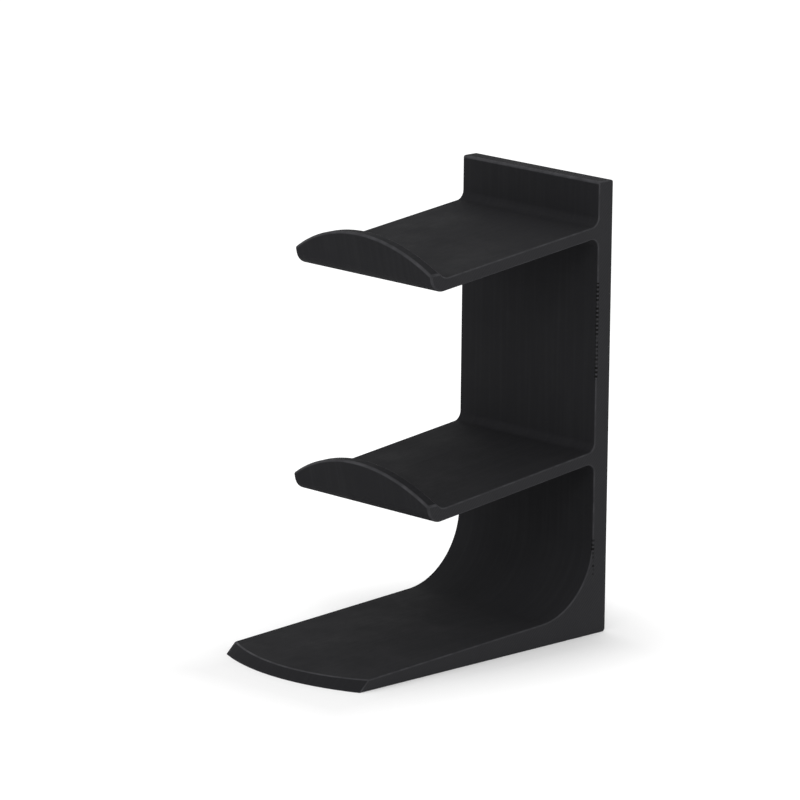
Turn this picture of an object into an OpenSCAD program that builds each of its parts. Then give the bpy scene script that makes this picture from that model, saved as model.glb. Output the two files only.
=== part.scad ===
// Stand for two game pads, printed in one piece on its side.
// X runs across the stand, Y towards its rear and Z up, from the table under the middle of the stand.

/* [Body] */
// Width of the stand, the same for its base, upright and trays
stand_w = 62; // [40:1:100]
// Rise of the upright above the upper tray's floor, where the floor meets it
upright_rise = 14.3; // [5:0.1:60]
// Thickness of the upright
upright_t = 6.5; // [4:0.5:12]
// Radius of the rear bottom corner, seen from the side
heel_r = 1.2; // [0.4:0.2:3]
// Radius of the two top corners of the upright, seen from the side
crown_r = 1; // [0.4:0.2:1.8]
// Radius of the two rear edges of the upright, seen from above
spine_r = 0.8; // [0.2:0.1:1.8]

/* [Base] */
// Depth of the base along its sides, from the rear face to the front corners
base_d = 111; // [96:1:160]
// How far the front edge bows out between the front corners
base_bow = 7; // [2:0.5:14]
// Thickness of the base at the middle of its front edge, behind the bevel
base_front_t = 3.2; // [2:0.2:5]
// Run of the bevel that climbs from the front edge
base_bevel = 3.2; // [1.6:0.2:6]
// Thickness that the sloping top of the base would have at the upright
base_rear_t = 8.6; // [5:0.2:12]
// Radius of the hollow blend between the base and the upright
blend_r = 24; // [8:1:32]

/* [Trays] */
// Height of the lower tray's front corner above the table
tray_z = 49.1; // [44:0.1:60]
// Distance from the lower tray up to the upper tray
tray_pitch = 74.3; // [66:0.1:75]
// Reach of a tray from the upright's front face to its front corner
tray_reach = 74; // [55:1:95]
// Thickness of a tray's floor and lip
tray_t = 4; // [3:0.25:5]
// Fall of a tray's floor towards its lip, in degrees
tray_fall = 6.4; // [2:0.2:8]
// Radius under a tray's floor and above it, where it leaves the upright
root_r = 3; // [1:0.5:5]

/* [Lips] */
// Height of a lip at its middle, above the tray's front corner
lip_h = 15.6; // [12:0.2:24]
// Height of a lip at its two ends
lip_end_h = 6.2; // [5.8:0.1:9]
// Outward lean of a lip, in degrees
lip_lean = 13.5; // [5:0.5:25]
// Radius of the bend outside, between floor and lip
bend_outer_r = 5; // [2:0.5:6]
// Radius of the bend inside, between floor and lip
bend_inner_r = 4; // [1:0.5:5]

/* [Hidden] */
$fn = 96;

// How far cutting and filling shapes reach past the surfaces that they meet
over = 1;
// How far a rounding crosses the two faces that it joins, so that it meets each on a line
lap = 0.005;
// Depth to which the trays are rooted in the upright
rooting = upright_t / 2;
// Rear face of the stand and foremost point of its base
rear_y = (base_d + base_bow) / 2;
nose_y = -rear_y;
// Height of a tray's floor where it meets the upright, above the tray's front corner
root_h = tray_reach * tan(tray_fall) + tray_t / cos(tray_fall);
// Height of the upright
stand_h = tray_z + tray_pitch + root_h + upright_rise;
// Front face of the upright
upright_y = rear_y - upright_t;
// Slope of the base's top
base_run = upright_y - nose_y - base_bevel;
base_slope = atan2(base_rear_t - base_front_t, base_run);
// Height that the sloping top would have at the foremost point
base_nose_t = base_rear_t - (upright_y - nose_y) * tan(base_slope);
// Radii of the arcs that the front edge and the lips follow
bow_r = arc_radius(base_bow);
lip_arc_r = arc_radius(lip_h - lip_end_h);
// Angle between a tray's floor and its lip
bend = 90 + lip_lean - tray_fall;

// Radius of an arc that spans the whole width with a given rise
function arc_radius(rise) = (stand_w * stand_w / 4 + rise * rise) / (2 * rise);
// Step of a given length in the direction of an angle
function step(angle, length) = [length * cos(angle), length * sin(angle)];

// Side views are drawn with Y to the right and Z up, and this carries them across the stand
module across() {
  rotate([90, 0, 90]) linear_extrude(stand_w, center = true) children();
}

// Space between a corner and the arc that rounds it, for faces that leave the corner at two angles.
// It fills a hollow corner or cuts a sharp one, and its back reaches past both faces.
module corner(at, from, to, r) {
  half = (to - from) / 2;
  middle = at + step(from + half, (r - lap) / sin(half));
  tip = middle - step(from + half, (r + over) / sin(half));
  difference() {
    polygon([tip, middle + step(from - 90, r + over), middle, middle + step(to + 90, r + over)]);
    translate(middle) circle(r);
  }
}

// Base and upright from the side: an L with a hollow blend
module frame_side() {
  difference() {
    union() {
      translate([upright_y, 0]) square([upright_t, stand_h]);
      polygon([[nose_y, 0], [upright_y, 0], [upright_y, base_rear_t], [nose_y, base_nose_t]]);
      corner([upright_y, base_rear_t], 90, 180 + base_slope, blend_r);
    }
    corner([rear_y, 0], 90, 180, heel_r);
    corner([rear_y, stand_h], 180, 270, crown_r);
    corner([upright_y, stand_h], 270, 360, crown_r);
  }
}

// What is trimmed off the upright to round its two rear edges
module spine_trim() {
  for (side = [-1, 1])
    translate([side * stand_w / 2, rear_y, -over])
      linear_extrude(stand_h + 2 * over) corner([0, 0], 225 - 45 * side, 315 - 45 * side, spine_r);
}

// What is trimmed off the front of the base, seen from above an arc, and bevelled upwards
module front_trim() {
  trim_h = base_rear_t + over;
  difference() {
    translate([-stand_w / 2 - over, nose_y - over, -over])
      cube([stand_w + 2 * over, base_bow + 2 * base_bevel + over, trim_h + over]);
    translate([0, nose_y + bow_r, -over])
      cylinder(h = trim_h + 2 * over, r1 = bow_r + over * base_bevel / base_front_t,
               r2 = bow_r - (trim_h + over) * base_bevel / base_front_t);
  }
}

// A tray from the side: floor, bend and leaning lip, with its front corner at the origin
module tray_side() {
  floor_dir = tray_fall;
  lip_dir = 90 + lip_lean;
  root = tray_reach + rooting;
  inner = step(floor_dir, tray_t / tan(bend / 2)) + step(floor_dir + 90, tray_t);
  floor_top = tray_t / cos(tray_fall);
  lip_depth = tray_t / cos(lip_lean);
  lip_top_y = -lip_h * tan(lip_lean);
  difference() {
    union() {
      polygon([[0, 0], [root, root * tan(tray_fall)], [root, root * tan(tray_fall) + floor_top],
               inner, [lip_top_y + lip_depth, lip_h], [lip_top_y, lip_h]]);
      corner(inner, floor_dir, lip_dir, bend_inner_r);
      corner([tray_reach, root_h], 90, 180 + tray_fall, root_r);
      corner([tray_reach, tray_reach * tan(tray_fall)], 180 + tray_fall, 270, root_r);
    }
    corner([0, 0], floor_dir, lip_dir, bend_outer_r);
  }
}

// What is trimmed off a lip to leave an arc along its top, for a tray with its front corner at the origin
module lip_trim() {
  front = lip_h * tan(lip_lean) + over;
  back = tray_t + bend_inner_r;
  translate([0, back, 0]) rotate([90, 0, 0]) linear_extrude(front + back) difference() {
    translate([-stand_w / 2 - over, lip_end_h - over / 2])
      square([stand_w + 2 * over, lip_h - lip_end_h + 2 * over]);
    translate([0, lip_h - lip_arc_r]) circle(lip_arc_r, $fn = 180);
  }
}

module tray() {
  difference() {
    across() tray_side();
    lip_trim();
  }
}

module stand() {
  color([0.16, 0.16, 0.16]) union() {
    difference() {
      across() frame_side();
      front_trim();
      spine_trim();
    }
    for (level = [0, 1])
      translate([0, upright_y - tray_reach, tray_z + level * tray_pitch]) tray();
  }
}

stand();
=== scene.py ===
from math import atan2, cos, hypot, pi, radians, sin, tan
from types import SimpleNamespace

import bmesh
import bpy
from mathutils import Matrix, Vector


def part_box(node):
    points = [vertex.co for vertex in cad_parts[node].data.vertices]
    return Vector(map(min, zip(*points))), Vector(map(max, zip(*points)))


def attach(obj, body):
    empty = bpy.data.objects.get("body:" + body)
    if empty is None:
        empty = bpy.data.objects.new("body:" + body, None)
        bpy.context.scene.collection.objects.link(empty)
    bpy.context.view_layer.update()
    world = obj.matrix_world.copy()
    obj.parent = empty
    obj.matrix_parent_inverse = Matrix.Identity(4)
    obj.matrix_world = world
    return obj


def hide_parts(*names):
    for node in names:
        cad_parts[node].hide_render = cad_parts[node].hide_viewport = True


mm = 0.001

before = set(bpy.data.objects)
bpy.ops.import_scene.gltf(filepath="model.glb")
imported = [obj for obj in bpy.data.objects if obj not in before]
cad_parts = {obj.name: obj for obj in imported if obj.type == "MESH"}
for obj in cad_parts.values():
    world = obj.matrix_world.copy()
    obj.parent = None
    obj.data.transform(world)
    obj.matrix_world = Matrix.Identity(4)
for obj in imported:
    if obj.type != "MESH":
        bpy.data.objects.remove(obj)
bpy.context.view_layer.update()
low, high = [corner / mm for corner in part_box("stand")]
print("frame loaded, stand is", [round(side, 1) for side in high - low], "mm")


# Small helpers for working in edit mode. Sizes and places are in millimetres everywhere

def activate(obj):
    if bpy.context.mode != "OBJECT":
        bpy.ops.object.mode_set(mode="OBJECT")
    bpy.ops.object.select_all(action="DESELECT")
    obj.select_set(True)
    bpy.context.view_layer.objects.active = obj


def openEdit(obj):
    activate(obj)
    bpy.ops.object.mode_set(mode="EDIT")
    bpy.ops.mesh.select_mode(type="VERT")
    bpy.ops.mesh.select_all(action="DESELECT")


def closeEdit():
    bpy.ops.object.mode_set(mode="OBJECT")


# Selects the corners ("VERT") or edges ("EDGE") whose points pass the test
def pick(obj, kind, test):
    bpy.ops.mesh.select_mode(type=kind)
    bpy.ops.mesh.select_all(action="DESELECT")
    mesh = bmesh.from_edit_mesh(obj.data)
    found = False
    for item in mesh.verts if kind == "VERT" else mesh.edges:
        points = [item] if kind == "VERT" else item.verts
        if test(*[v.co / mm for v in points]):
            item.select_set(True)
            found = True
    mesh.select_flush_mode()
    bmesh.update_edit_mesh(obj.data)
    if not found:
        raise ValueError("nothing to pick for " + test.__name__)


def near(a, b, reach=0.02):
    return abs(a - b) < reach


def atPoint(y, z):
    return lambda v: near(v.y, y) and near(v.z, z)


def move(y, z):
    bpy.ops.transform.translate(value=(0, y * mm, z * mm))


def extrude(y, z, x=0):
    bpy.ops.mesh.extrude_region_move(TRANSFORM_OT_translate={"value": (x * mm, y * mm, z * mm)})


def mergeCloser(obj, distance):
    openEdit(obj)
    bpy.ops.mesh.select_all(action="SELECT")
    bpy.ops.mesh.remove_doubles(threshold=distance * mm)
    closeEdit()


def addBlock(lowCorner, highCorner):
    a, b = Vector(lowCorner) * mm, Vector(highCorner) * mm
    bpy.ops.object.select_all(action="DESELECT")
    bpy.ops.mesh.primitive_cube_add(size=1, location=(a + b) / 2)
    block = bpy.context.object
    block.scale = b - a
    bpy.ops.object.transform_apply(location=True, rotation=True, scale=True)
    return block


def cut(obj, tool):
    activate(obj)
    boolean = obj.modifiers.new("cut", "BOOLEAN")
    boolean.operation = "DIFFERENCE"
    boolean.solver = "EXACT"
    boolean.object = tool
    bpy.ops.object.modifier_apply(modifier=boolean.name)
    bpy.data.objects.remove(tool)


# Radius of an arc that rises by so much over a width
def arcRadius(rise, width):
    return (width * width / 4 + rise * rise) / (2 * rise)


# How far from a corner its rounding starts, along two edges that stand at an angle
def arcReach(radius, angle):
    return radius / tan(angle / 2)


# Y runs to the rear, so what reaches forward counts down
stand = dict(
    uprightThick=6.5, crownRadius=1, heelRadius=1.2,
    baseBow=7, baseFront=3.2, baseBevel=3.2, baseRear=8.6, blendRadius=24,
    trayFront=49.1, trayPitch=74.3, trayReach=74, trayThick=4, trayFall=6.4, rootRadius=3,
    lipHeight=15.6, lipEndHeight=6.2, lipLean=13.5, bendOuter=5, bendInner=4,
    # Radii along the edges, and the widest face that counts as part of an edge with the painted highlight
    lipRounding=1.0, lipEndRounding=0.8, spineRounding=0.6, edgeRounding=0.45, footRounding=0.3,
    highlightWidth=0.45,
    # Facets on the arcs
    blendSteps=24, heelSteps=4, outerSteps=12, innerSteps=10, rootSteps=8, roundingSteps=4,
    lipArcSides=240, noseArcSides=480,
)

past = 1         # how far a cutting shape passes the faces that it cuts
facetSag = 0.06  # how far facets stray from the arc that they stand for
slack = 0.1      # less than any length that tells one edge from another


# Places and angles that follow from the sizes, kept together under one short name
def workOut(s):
    p = SimpleNamespace()
    p.width, p.top = high.x - low.x, high.z
    p.rearY, p.noseY = high.y, -high.y
    p.frontY = p.rearY - s["uprightThick"]
    p.slope = (s["baseRear"] - s["baseFront"]) / (p.frontY - p.noseY - s["baseBevel"])
    p.noseArc = arcRadius(s["baseBow"], p.width)
    p.steep = s["baseBevel"] / s["baseFront"]
    p.fall, p.lean = radians(s["trayFall"]), radians(s["lipLean"])
    p.trays = [s["trayFront"], s["trayFront"] + s["trayPitch"]]
    p.cornerY = p.frontY - s["trayReach"]
    p.drop = s["trayReach"] * tan(p.fall)
    p.floorDepth, p.lipDepth = s["trayThick"] / cos(p.fall), s["trayThick"] / cos(p.lean)
    p.lipForward = s["lipHeight"] * tan(p.lean)
    p.lipArc = arcRadius(s["lipHeight"] - s["lipEndHeight"], p.width)
    # The inner corner between floor and lip, seen from the outer one
    p.bend = pi / 2 + p.lean - p.fall
    along = s["trayThick"] / tan(p.bend / 2)
    p.innerY = along * cos(p.fall) - s["trayThick"] * sin(p.fall)
    p.innerZ = along * sin(p.fall) + s["trayThick"] * cos(p.fall)
    return p


# Test for a point at one place of either tray, with its height given from the tray's front corner
def atTrays(p, y, rise):
    return lambda v: near(v.y, y) and any(near(v.z, z + rise) for z in p.trays)


# The side view: the upright is a strip, and the base and the trays grow forward from it
def drawSide(s, p):
    bpy.ops.object.select_all(action="DESELECT")
    bpy.ops.mesh.primitive_plane_add(size=1, location=(0, 0, 0), rotation=(0, pi / 2, 0))
    obj = bpy.context.object
    obj.name = obj.data.name = "printedStand"
    obj.scale = (p.top * mm, s["uprightThick"] * mm, 1)
    obj.location = (low.x * mm, (p.rearY + p.frontY) / 2 * mm, p.top / 2 * mm)
    bpy.ops.object.transform_apply(location=True, rotation=True, scale=True)
    openEdit(obj)
    heights = [s["baseRear"]]
    for z in p.trays:
        heights += [z + p.drop, z + p.drop + p.floorDepth]
    for z in heights:
        bpy.ops.mesh.select_all(action="SELECT")
        bpy.ops.mesh.bisect(plane_co=(0, 0, z * mm), plane_no=(0, 0, 1))

    # The base, with its nose pulled down thin
    def onFront(a, b):
        return near(a.y, p.frontY) and near(b.y, p.frontY)

    def baseRoot(a, b):
        return onFront(a, b) and near(max(a.z, b.z), s["baseRear"])

    pick(obj, "EDGE", baseRoot)
    extrude(p.noseY - p.frontY, 0)
    pick(obj, "VERT", atPoint(p.noseY, s["baseRear"]))
    move(0, (p.noseY - p.frontY) * p.slope)

    # Both trays together: floor, mitred corner and leaning lip
    def trayRoot(a, b):
        return onFront(a, b) and any(near((a.z + b.z) / 2, z + p.drop + p.floorDepth / 2) for z in p.trays)

    def trayEnd(a, b):
        return near(min(a.y, b.y), p.cornerY) and near(max(a.y, b.y), p.cornerY + p.innerY)

    pick(obj, "EDGE", trayRoot)
    extrude(-s["trayReach"], -p.drop)
    pick(obj, "VERT", atTrays(p, p.cornerY, p.floorDepth))
    move(p.innerY, p.innerZ - p.floorDepth)
    pick(obj, "EDGE", trayEnd)
    extrude(-p.lipForward, s["lipHeight"])
    pick(obj, "VERT", atTrays(p, p.cornerY + p.innerY - p.lipForward, p.innerZ + s["lipHeight"]))
    move(p.lipDepth - p.innerY, -p.innerZ)

    # One face is left, without the points in the middle of its straight edges
    def midEdge(v):
        onRear = near(v.y, p.rearY) and not near(v.z, 0) and not near(v.z, p.top)
        return onRear or atPoint(p.frontY, 0)(v)

    bpy.ops.mesh.select_all(action="SELECT")
    bpy.ops.mesh.dissolve_faces()
    pick(obj, "VERT", midEdge)
    bpy.ops.mesh.dissolve_verts()
    print("side view drawn")
    return obj


# Corners of the side view become arcs, while it is still flat
def roundCorners(obj, s, p):
    def roundOff(test, radius, angle, steps):
        pick(obj, "VERT", test)
        bpy.ops.mesh.bevel(offset_type="OFFSET", offset=arcReach(radius, angle) * mm, segments=steps,
                           profile=0.5, affect="VERTICES", clamp_overlap=False)

    roundOff(atPoint(p.frontY, s["baseRear"]), s["blendRadius"], pi / 2 + p.slope, s["blendSteps"])
    roundOff(atPoint(p.rearY, 0), s["heelRadius"], pi / 2, s["heelSteps"])
    roundOff(atTrays(p, p.cornerY, 0), s["bendOuter"], p.bend, s["outerSteps"])
    roundOff(atTrays(p, p.cornerY + p.innerY, p.innerZ), s["bendInner"], p.bend, s["innerSteps"])
    roundOff(atTrays(p, p.frontY, p.drop + p.floorDepth), s["rootRadius"], pi / 2 + p.fall, s["rootSteps"])
    roundOff(atTrays(p, p.frontY, p.drop), s["rootRadius"], pi / 2 - p.fall, s["rootSteps"])


def extrudeAcross(obj, p):
    bpy.ops.mesh.select_all(action="SELECT")
    extrude(0, 0, p.width)
    bpy.ops.mesh.select_all(action="SELECT")
    bpy.ops.mesh.normals_make_consistent(inside=False)
    closeEdit()
    print("stand extruded,", len(obj.data.polygons), "faces")


# An arc is cut along the top of each lip
def cutLips(obj, s, p):
    sideX = p.width / 2 + past
    lipFront = p.cornerY - p.lipForward - past
    lipBack = p.cornerY + s["trayThick"] + s["bendInner"]
    arcLength = 80  # it passes the block before and behind
    for z in p.trays:
        block = addBlock((-sideX, lipFront, z + s["lipEndHeight"] - past / 2),
                         (sideX, lipBack, z + s["lipHeight"] + past))
        arcZ = z + s["lipHeight"] - p.lipArc
        bpy.ops.object.select_all(action="DESELECT")
        bpy.ops.mesh.primitive_cylinder_add(vertices=s["lipArcSides"], radius=p.lipArc * mm,
                                            depth=arcLength * mm, location=(0, p.cornerY * mm, arcZ * mm),
                                            rotation=(pi / 2, 0, 0))
        cut(block, bpy.context.object)
        cut(obj, block)


# The nose of the base follows an arc seen from above, and is bevelled back as a cone
def cutNose(obj, s, p):
    sideX = p.width / 2 + past
    block = addBlock((-sideX, p.noseY - past, -past),
                     (sideX, p.noseY + s["baseBow"] + 2 * s["baseBevel"], s["baseRear"] + past))
    footZ, tipZ = -2 * past, s["baseRear"] + 2 * past
    bpy.ops.object.select_all(action="DESELECT")
    bpy.ops.mesh.primitive_cone_add(vertices=s["noseArcSides"], depth=(tipZ - footZ) * mm,
                                    radius1=(p.noseArc - footZ * p.steep) * mm,
                                    radius2=(p.noseArc - tipZ * p.steep) * mm,
                                    location=(0, (p.noseY + p.noseArc) * mm, (footZ + tipZ) / 2 * mm))
    cut(block, bpy.context.object)
    cut(obj, block)


def onLipArc(v, s, p):
    onArc = any(near(hypot(v.x, v.z - z - s["lipHeight"] + p.lipArc), p.lipArc, facetSag)
                and v.z > z + s["lipEndHeight"] - slack for z in p.trays)
    return onArc and v.y < p.cornerY + s["trayThick"] + s["bendInner"]


def onNose(v, p):
    return near(hypot(v.x, v.y - p.noseY - p.noseArc), p.noseArc - v.z * p.steep, facetSag)


# The cone's facets leave needless edges that run out on the sides of the nose
def cleanNose(obj, s, p):
    def runsOut(a, b):
        side, other = (a, b) if abs(a.x) > abs(b.x) else (b, a)
        betweenEdges = slack < side.z < s["baseFront"] - slack
        acrossNose = near(abs(side.x), p.width / 2) and abs(other.x) < p.width / 2 - slack
        return onNose(a, p) and onNose(b, p) and acrossNose and betweenEdges

    openEdit(obj)
    pick(obj, "EDGE", runsOut)
    bpy.ops.mesh.dissolve_edges(use_verts=True)
    closeEdit()


# Radius along an edge of one side of the stand. It changes at sharp corners, and bit by bit round the heel
# and round the outer side of a lip's bend, where a jump would fold the faces
def sideRadius(a, b, s, p):
    middle = (a + b) / 2
    if near(a.z, 0) and near(b.z, 0):
        return s["footRounding"]
    if near(a.y, p.rearY) and near(b.y, p.rearY):
        return s["spineRounding"]
    back, up = middle.y - p.rearY + s["heelRadius"], s["heelRadius"] - middle.z
    if back > 0 and up > 0:
        climb = atan2(back, up) / (pi / 2)
        return s["footRounding"] + climb * (s["spineRounding"] - s["footRounding"])
    bendReach = arcReach(s["bendOuter"], p.bend)
    bendStart = bendReach * (sin(p.fall) - cos(p.fall))
    bendEnd = bendReach * (sin(p.lean) + cos(p.lean))
    for z in p.trays:
        rise, back = middle.z - z, middle.y - p.cornerY
        outerSide = back < s["trayThick"] / 4 or rise < s["trayThick"] / 2
        if outerSide and 0 < rise < s["lipEndHeight"] - slack and rise - back > bendStart:
            climb = min(1, (rise - back - bendStart) / (bendEnd - bendStart))
            return s["edgeRounding"] + climb * (s["lipEndRounding"] - s["edgeRounding"])
    return s["footRounding"] if onNose(a, p) and onNose(b, p) else s["edgeRounding"]


# Radius along any edge, or 0 where it stays as it is
def edgeRadius(a, b, s, p):
    if near(a.x, b.x, 0.001):
        return sideRadius(a, b, s, p) if near(abs(a.x), p.width / 2) else 0
    if onLipArc(a, s, p) and onLipArc(b, s, p):
        outer = any(near(a.y, p.cornerY - (a.z - z) * tan(p.lean), slack) for z in p.trays)
        return s["lipRounding"] if outer else s["edgeRounding"]
    if onNose(a, p) and onNose(b, p) and near(a.z, b.z, 2 * slack):
        return s["footRounding"] if near(a.z, 0) and near(b.z, 0) else s["edgeRounding"]
    if near(a.z, p.top) and near(b.z, p.top):
        return s["crownRadius"]
    return 0


# One bevel rounds all edges, each with its radius as a share of the largest
def roundEdges(obj, s, p):
    weights = obj.data.attributes.new("bevel_weight_edge", "FLOAT", "EDGE")
    for edge in obj.data.edges:
        a, b = [obj.data.vertices[v].co / mm for v in edge.vertices]
        weights.data[edge.index].value = edgeRadius(a, b, s, p) / s["crownRadius"]
    bevel = obj.modifiers.new("rounding", "BEVEL")
    bevel.limit_method = "WEIGHT"
    bevel.width = s["crownRadius"] * mm
    bevel.segments = s["roundingSteps"]
    bevel.use_clamp_overlap = False
    bpy.ops.object.modifier_apply(modifier=bevel.name)
    mergeCloser(obj, 0.01)  # where roundings of different radii meet
    bpy.ops.object.shade_smooth_by_angle(angle=radians(35))
    weighted = obj.modifiers.new("flat faces", "WEIGHTED_NORMAL")
    weighted.keep_sharp = True
    bpy.ops.object.modifier_apply(modifier=weighted.name)
    print("edges rounded,", len(obj.data.polygons), "faces")


# Gives 1 to the middle points of the roundings and 0 to all others, so that the material knows the edges and
# paints a highlight along them
def markEdges(obj, highlightWidth):
    mesh = bmesh.new()
    mesh.from_mesh(obj.data)
    slim = [2 * face.calc_area() / face.calc_perimeter() < highlightWidth * mm for face in mesh.faces]
    onEdge = [float(all(slim[face.index] for face in v.link_faces)) for v in mesh.verts]
    mesh.free()
    paintedSheen = obj.data.attributes.new("edgeHighlight", "FLOAT", "POINT")
    paintedSheen.data.foreach_set("value", onEdge)


def makeStand(s):
    p = workOut(s)
    obj = drawSide(s, p)
    roundCorners(obj, s, p)
    extrudeAcross(obj, p)
    cutLips(obj, s, p)
    cutNose(obj, s, p)
    mergeCloser(obj, 0.08)  # slivers that the cuts leave
    print("lips and nose cut,", len(obj.data.polygons), "faces")
    cleanNose(obj, s, p)
    roundEdges(obj, s, p)
    markEdges(obj, s["highlightWidth"])
    return obj


printedStand = makeStand(stand)
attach(printedStand, "root")
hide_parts("stand")


# Materials

def hexColour(text):
    channels = [int(text[i:i + 2], 16) / 255 for i in (1, 3, 5)]
    linear = [c / 12.92 if c <= 0.04045 else ((c + 0.055) / 1.055) ** 2.4 for c in channels]
    return (*linear, 1)


# Adds a node with its settings, and links or sets its inputs
def addNode(tree, kind, inputs=None, **settings):
    node = tree.nodes.new(kind)
    for name, value in settings.items():
        setattr(node, name, value)
    for name, value in (inputs or {}).items():
        if isinstance(value, bpy.types.NodeSocket):
            tree.links.new(value, node.inputs[name])
        else:
            node.inputs[name].default_value = value
    return node


def newMaterial(name):
    material = bpy.data.materials.new(name)
    material.use_nodes = True
    material.node_tree.nodes.clear()
    return material, material.node_tree


# Black PLA, printed lying on its side: the layers stack across the stand, so every face but the two sides
# shows them as fine level lines, and the sides show the slanting strokes of the first and last layer.
# The filament is dull and a little mottled, and its edges carry a painted highlight, a lighter grey where the
# light catches them.
blackPlaLook = dict(
    layer=0.4,          # real layers are 0.2 mm, too fine for the picture, and are drawn twice as coarse
    stroke=0.9,         # real strokes are 0.45 mm wide, drawn twice as coarse
    strokeSlant=45,
    layerGroup=1.3, grain=0.35, mottle=14, unevenness=3.333,
    darkFilament="#1a1a1c", paleFilament="#212123", paleLayer="#2a2a2c",
    # The last grey on the next line is a painted highlight for the edges
    # The two stroke colours are a shade lighter than the filament: the strokes, with painted light for the
    # sides
    darkStrokeLitSide="#2a2a2c", paleStrokeLitSide="#2f2f31", highlightGrey="#4c4c4f",
    # Rows of dark pits, painted near black for the shade in them: the height of each row's middle and half
    # its length, half a pit's share of the pitch, how far the pits reach in from the side, and where they lie
    # behind the front edge and how far both ways
    lowerPits=(26, 6), upperPits=(101, 16), pitPitch=1.4, pitShare=0.27,
    pitsAcross=0.7, pitsBehind=0.2, pitsAlong=0.45, pitShadeColour="#060606",
    ridgeDepth=0.06, grainDepth=0.05,
)


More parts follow.
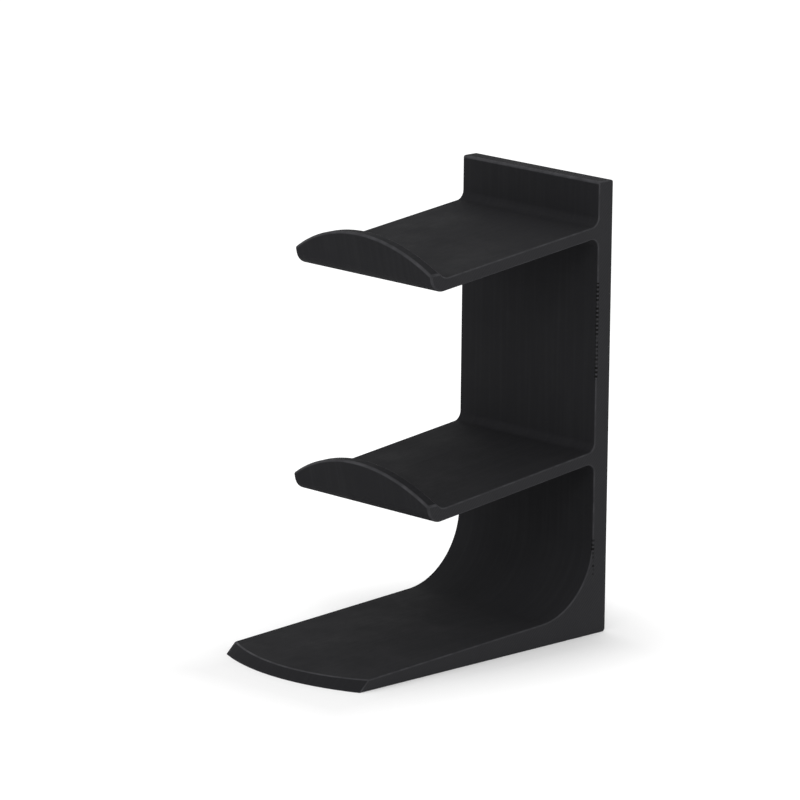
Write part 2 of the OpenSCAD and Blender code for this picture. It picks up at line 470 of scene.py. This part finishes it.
def blackPla(s):
    material, tree = newMaterial("blackPlaPrinted")
    place = addNode(tree, "ShaderNodeTexCoord")
    inMm = addNode(tree, "ShaderNodeMapping", {"Vector": place.outputs["Object"],
                                               "Scale": (1 / mm, 1 / mm, 1 / mm)})
    at = addNode(tree, "ShaderNodeSeparateXYZ", {0: inMm.outputs[0]})
    facing = addNode(tree, "ShaderNodeSeparateXYZ", {0: place.outputs["Normal"]})
    sideways = addNode(tree, "ShaderNodeMath", {0: facing.outputs["X"]}, operation="ABSOLUTE")
    onSide = addNode(tree, "ShaderNodeMapRange", {"Value": sideways.outputs[0], "From Min": 0.9,
                                                  "From Max": 0.99})

    # Bands of a wave texture lie pi / 10 apart at scale 1
    bandStep = pi / 10
    layers = addNode(tree, "ShaderNodeTexWave", {"Vector": inMm.outputs[0], "Scale": bandStep / s["layer"],
                                                 "Distortion": 0.15, "Detail": 1.0}, bands_direction="X")
    slant = addNode(tree, "ShaderNodeMapping", {"Vector": inMm.outputs[0],
                                                "Rotation": (radians(s["strokeSlant"]), 0, 0)})
    strokes = addNode(tree, "ShaderNodeTexWave", {"Vector": slant.outputs[0], "Scale": bandStep / s["stroke"],
                                                  "Distortion": 0.3, "Detail": 1.0}, bands_direction="Y")
    lines = addNode(tree, "ShaderNodeMix", {"Factor": onSide.outputs[0], "A": layers.outputs["Fac"],
                                            "B": strokes.outputs["Fac"]})

    # Some layers come out a shade lighter than others
    flat = addNode(tree, "ShaderNodeMapping", {"Vector": inMm.outputs[0], "Scale": (1, 0.03, 0.03)})
    groups = addNode(tree, "ShaderNodeTexNoise", {"Vector": flat.outputs[0], "Scale": 1 / s["layerGroup"],
                                                  "Detail": 2.0})
    mottle = addNode(tree, "ShaderNodeTexNoise", {"Vector": inMm.outputs[0], "Scale": 1 / s["mottle"],
                                                  "Detail": 4.0, "Roughness": 0.6})
    grain = addNode(tree, "ShaderNodeTexNoise", {"Vector": inMm.outputs[0], "Scale": 1 / s["grain"],
                                                 "Detail": 2.0})
    uneven = addNode(tree, "ShaderNodeTexNoise", {"Vector": inMm.outputs[0], "Scale": 1 / s["unevenness"],
                                                  "Detail": 1.0})

    # Strokes that end on the front right edge of the upright leave small pits, in two rows, painted dark for
    # the shade in them
    def within(value, middle, reach):
        compare = addNode(tree, "ShaderNodeMath", {0: value, 1: middle, 2: reach}, operation="COMPARE")
        return compare.outputs[0]

    turns = addNode(tree, "ShaderNodeMath", {0: at.outputs["Z"], 1: s["pitPitch"]}, operation="DIVIDE")
    turn = addNode(tree, "ShaderNodeMath", {0: turns.outputs[0]}, operation="FRACT")
    dots = within(turn.outputs[0], 0.5, s["pitShare"])
    across = within(at.outputs["X"], high.x, s["pitsAcross"])
    along = within(at.outputs["Y"], high.y - stand["uprightThick"] + s["pitsBehind"], s["pitsAlong"])
    upper = within(at.outputs["Z"], *s["upperPits"])
    lower = within(at.outputs["Z"], *s["lowerPits"])
    either = addNode(tree, "ShaderNodeMath", {0: upper, 1: lower}, operation="MAXIMUM")
    pits = addNode(tree, "ShaderNodeMapRange", {"Value": uneven.outputs["Fac"], "From Min": 0.3,
                                                "From Max": 0.5})
    for part in (dots, across, along, either.outputs[0]):
        pits = addNode(tree, "ShaderNodeMath", {0: pits.outputs[0], 1: part}, operation="MULTIPLY")

    # Colour: mottled black, a shade lighter in some layers, painted a shade lighter on the sides for the
    # light that falls on them, with a painted highlight of lighter grey on the edges and painted shade near
    # black in the pits
    def blend(share, a, b):
        mix = addNode(tree, "ShaderNodeMix", {"Factor": share, "A": a, "B": b}, data_type="RGBA")
        return mix.outputs["Result"]

    shade = blend(mottle.outputs["Fac"], hexColour(s["darkFilament"]), hexColour(s["paleFilament"]))
    banded = addNode(tree, "ShaderNodeMapRange", {"Value": groups.outputs["Fac"], "From Min": 0.45,
                                                  "From Max": 0.75, "To Max": 0.22})
    layered = blend(banded.outputs[0], shade, hexColour(s["paleLayer"]))
    # Painted light: the sides' strokes are a shade lighter than the other faces, for the light that falls on
    # the sides
    litSideStrokes = blend(strokes.outputs["Fac"], hexColour(s["darkStrokeLitSide"]), hexColour(s["paleStrokeLitSide"]))
    sided = blend(onSide.outputs[0], layered, litSideStrokes)
    edge = addNode(tree, "ShaderNodeAttribute", attribute_name="edgeHighlight")
    paintedSheen = addNode(tree, "ShaderNodeMapRange", {"Value": uneven.outputs["Fac"], "From Min": 0.3,
                                                  "From Max": 0.7, "To Min": 0.28, "To Max": 0.52})
    highlightAndPolish = addNode(tree, "ShaderNodeMath", {0: edge.outputs["Fac"], 1: paintedSheen.outputs[0]},
                   operation="MULTIPLY")
    # Painted highlight: the edges are blended towards a lighter grey, in uneven patches
    highlighted = blend(highlightAndPolish.outputs[0], sided, hexColour(s["highlightGrey"]))
    # Painted shade: the pits are blended to near black
    colour = blend(pits.outputs[0], highlighted, hexColour(s["pitShadeColour"]))

    # Dull all over, and smoother along the edges that carry the painted highlight
    dullness = addNode(tree, "ShaderNodeMapRange", {"Value": mottle.outputs["Fac"], "From Min": 0.3,
                                                    "From Max": 0.7, "To Min": 0.74, "To Max": 0.9})
    roughness = addNode(tree, "ShaderNodeMath", {0: highlightAndPolish.outputs[0], 1: -0.5, 2: dullness.outputs[0]},
                        operation="MULTIPLY_ADD")
    height = addNode(tree, "ShaderNodeMath", {0: lines.outputs["Result"], 1: pits.outputs[0]},
                     operation="SUBTRACT")
    ridges = addNode(tree, "ShaderNodeBump", {"Height": height.outputs[0], "Strength": 0.25,
                                              "Distance": s["ridgeDepth"] * mm})
    grained = addNode(tree, "ShaderNodeBump", {"Height": grain.outputs["Fac"], "Normal": ridges.outputs[0],
                                               "Strength": 0.3, "Distance": s["grainDepth"] * mm})
    # PLA has an IOR of 1.46, and its ridges swallow part of the reflection
    skin = addNode(tree, "ShaderNodeBsdfPrincipled", {"Base Color": colour, "Roughness": roughness.outputs[0],
                                                      "IOR": 1.46, "Specular IOR Level": 0.1,
                                                      "Normal": grained.outputs[0]})
    addNode(tree, "ShaderNodeOutputMaterial", {"Surface": skin.outputs[0]})
    return material


printedStand.data.materials.clear()
printedStand.data.materials.append(blackPla(blackPlaLook))
print("printed plastic made")


# Studio: pale table, soft lamps, white behind

studio = dict(
    floorSize=8000, floorColour="#f4f4f4",
    glowInPaintedShadow=0.08, glowFar=0.34, clearAway=44, shadowShift=(8, -12, 0),
    worldLight=0.8,
    lampAim=(0, 0, 70),
    lamps=dict(
        overheadSoftbox=dict(place=(-200, 100, 1300), size=1000, power=1),
        rightSoftbox=dict(place=(900, -700, 1100), size=500, power=4),
        frontSoftbox=dict(place=(-300, -1200, 400), size=800, power=3.5),
    ),
)


# 1 for the rays that show the background, and 0 for those that light the stand
def seenRays(tree):
    rays = addNode(tree, "ShaderNodeLightPath").outputs
    seen = addNode(tree, "ShaderNodeMath", {0: rays["Is Camera Ray"], 1: rays["Is Glossy Ray"]},
                   operation="MAXIMUM")
    through = addNode(tree, "ShaderNodeMath", {0: seen.outputs[0], 1: rays["Is Transmission Ray"]},
                      operation="MAXIMUM")
    return through.outputs[0]


# The table's glow is weakest at the foot of the stand and clears to white away from it: a painted shadow
# round the foot, moved towards the camera by the shift, over the stand's own shadow
def makeFloor(s):
    bpy.ops.object.select_all(action="DESELECT")
    bpy.ops.mesh.primitive_plane_add(size=s["floorSize"] * mm, location=(0, 0, 0))
    floor = bpy.context.object
    floor.name = "floor"
    material, tree = newMaterial("paleTable")
    diffuse = addNode(tree, "ShaderNodeBsdfDiffuse", {"Color": hexColour(s["floorColour"])})
    place = addNode(tree, "ShaderNodeTexCoord")
    shadowShift = Vector(s["shadowShift"]) * mm
    shifted = addNode(tree, "ShaderNodeVectorMath", {0: place.outputs["Object"], 1: shadowShift},
                      operation="SUBTRACT")
    oneCorner = addNode(tree, "ShaderNodeVectorMath", {0: shifted.outputs[0]}, operation="ABSOLUTE")
    beyond = addNode(tree, "ShaderNodeVectorMath", {0: oneCorner.outputs[0], 1: high * mm},
                     operation="SUBTRACT")
    outside = addNode(tree, "ShaderNodeVectorMath", {0: beyond.outputs[0], 1: (0, 0, 0)},
                      operation="MAXIMUM")
    away = addNode(tree, "ShaderNodeVectorMath", {0: outside.outputs[0]}, operation="LENGTH")
    # Painted shadow: the glow rises from its lowest at the foot to full white over this distance
    paintedShadowFade = addNode(tree, "ShaderNodeMapRange", {"Value": away.outputs["Value"],
                                                    "From Max": s["clearAway"] * mm,
                                                    "To Min": s["glowInPaintedShadow"], "To Max": s["glowFar"]})
    glow = addNode(tree, "ShaderNodeEmission", {"Color": (1, 1, 1, 1), "Strength": paintedShadowFade.outputs[0]})
    dark = addNode(tree, "ShaderNodeEmission", {"Color": (0, 0, 0, 1), "Strength": 0})
    shown = addNode(tree, "ShaderNodeMixShader", {0: seenRays(tree), 1: dark.outputs[0], 2: glow.outputs[0]})
    both = addNode(tree, "ShaderNodeAddShader", {0: diffuse.outputs[0], 1: shown.outputs[0]})
    addNode(tree, "ShaderNodeOutputMaterial", {"Surface": both.outputs[0]})
    floor.data.materials.append(material)


def makeWorld(s):
    world = bpy.data.worlds.new("softBox")
    bpy.context.scene.world = world
    world.use_nodes = True
    tree = world.node_tree
    tree.nodes.clear()
    light = addNode(tree, "ShaderNodeBackground", {"Color": (1, 1, 1, 1), "Strength": s["worldLight"]})
    white = addNode(tree, "ShaderNodeBackground", {"Color": (1, 1, 1, 1), "Strength": 1})
    mixed = addNode(tree, "ShaderNodeMixShader", {0: seenRays(tree), 1: light.outputs[0],
                                                  2: white.outputs[0]})
    addNode(tree, "ShaderNodeOutputWorld", {"Surface": mixed.outputs[0]})


def addLamp(name, lampSizes, aim):
    place = Vector(lampSizes["place"]) * mm
    bpy.ops.object.select_all(action="DESELECT")
    bpy.ops.object.light_add(type="AREA", location=place)
    lamp = bpy.context.object
    lamp.name = name
    lamp.data.shape = "DISK"
    lamp.data.size = lampSizes["size"] * mm
    lamp.data.energy = lampSizes["power"]
    lamp.rotation_euler = (aim - place).to_track_quat("-Z", "Y").to_euler()


makeFloor(studio)
makeWorld(studio)
for name, lampSizes in studio["lamps"].items():
    addLamp(name, lampSizes, Vector(studio["lampAim"]) * mm)
print("studio built")


# Camera, fitted to the straight edges and arcs of the stand. The angles are in degrees
view = dict(place=(1320.36, -1295.44, 508.16), azimuth=45.667, elevation=13.002, roll=0.6207, lens=266.8)


def makeCamera(s):
    a, e, r = radians(s["azimuth"]), radians(s["elevation"]), radians(s["roll"])
    back = Vector((sin(a) * cos(e), -cos(a) * cos(e), sin(e)))
    level = Vector((cos(a), sin(a), 0))
    upright = back.cross(level)
    right = cos(r) * level + sin(r) * upright
    up = cos(r) * upright - sin(r) * level
    turned = Matrix((right, up, back)).transposed().to_4x4()
    bpy.ops.object.select_all(action="DESELECT")
    bpy.ops.object.camera_add()
    camera = bpy.context.object
    camera.matrix_world = Matrix.Translation(Vector(s["place"]) * mm) @ turned
    camera.data.lens = s["lens"]
    bpy.context.scene.camera = camera


makeCamera(view)
bpy.context.scene.view_settings.view_transform = "Standard"
